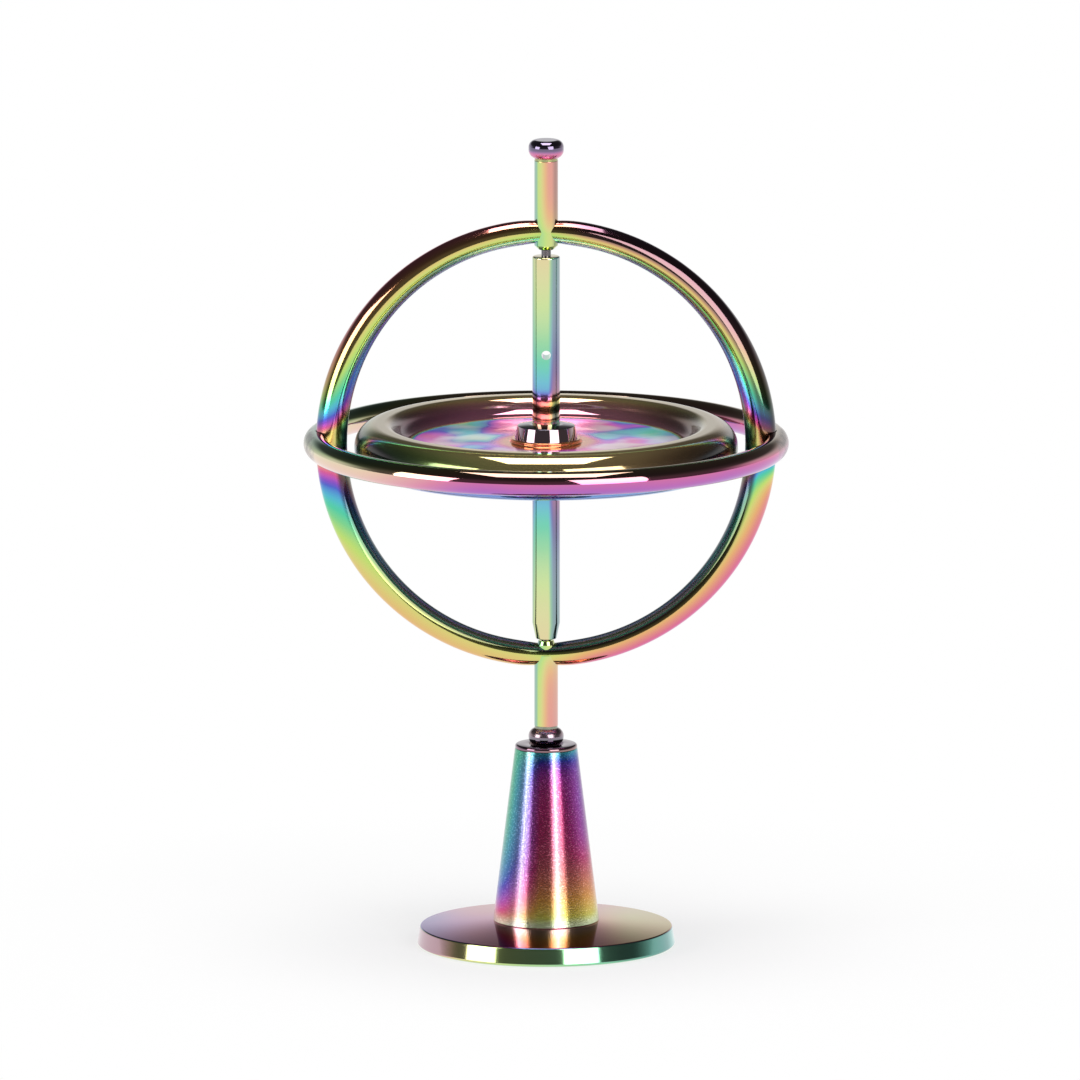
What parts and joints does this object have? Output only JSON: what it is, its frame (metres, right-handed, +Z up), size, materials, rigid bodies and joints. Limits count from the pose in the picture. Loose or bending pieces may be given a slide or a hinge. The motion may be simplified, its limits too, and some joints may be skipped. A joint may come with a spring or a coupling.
{
  "type": "gyroscope on stand",
  "caption": "Toy gyroscope: a flywheel on a shaft inside two crossed rings, balanced by its lower knob on a cone-shaped stand with a round base.",
  "frame": {"origin": "middle of the stand's underside, on the surface it stands on", "axes": "+Z up along the stand's and the upright gyroscope's axis; the rings cross on the X axis; the string hole runs along Y"},
  "size_m": [0.063, 0.063, 0.1062],
  "materials": {
    "rainbow_mirror": "mirror-polished metal with a rainbow interference coating",
    "rainbow_satin": "satin metal with a fine sparkle and a rainbow interference coating",
    "dark_steel": "dark hardened steel, fine turned",
    "screw_steel": "zinc-plated screw steel",
    "pad_rubber": "matt black foam rubber"
  },
  "bodies": {
    "stand": {"base_disc": "rainbow_mirror", "base_pad": "pad_rubber", "base_screw": "screw_steel", "stand_cone": "rainbow_satin"},
    "cup": {"pivot_cup": "rainbow_mirror"},
    "gyro_frame": {"lower_knob": "rainbow_mirror", "lower_post": "rainbow_mirror", "lower_bearing_boss": "rainbow_mirror", "vertical_ring": "rainbow_mirror", "horizontal_ring": "rainbow_mirror", "ring_rivet_left": "rainbow_mirror", "ring_rivet_right": "rainbow_mirror", "upper_bearing_boss": "rainbow_mirror", "upper_post": "rainbow_mirror", "upper_knob": "rainbow_mirror"},
    "rotor": {"shaft": "rainbow_mirror", "upper_pivot_tip": "dark_steel", "lower_pivot_tip": "dark_steel", "flywheel": "rainbow_mirror", "upper_hub_collar": "rainbow_mirror", "lower_hub_collar": "rainbow_mirror"}
  },
  "joints": [
    {"name": "precession", "type": "hinge", "parent": "stand", "child": "cup", "pos_m": [0, 0, 0.0276], "axis": [0, 0, 1], "continuous": true},
    {"name": "frame_lean", "type": "hinge", "parent": "cup", "child": "gyro_frame", "pos_m": [0, 0, 0.0276], "axis": [0, 1, 0], "range_deg": [-60, 60]},
    {"name": "rotor_spin", "type": "hinge", "parent": "gyro_frame", "child": "rotor", "pos_m": [0, 0, 0.0662], "axis": [0, 0, 1], "continuous": true}
  ]
}
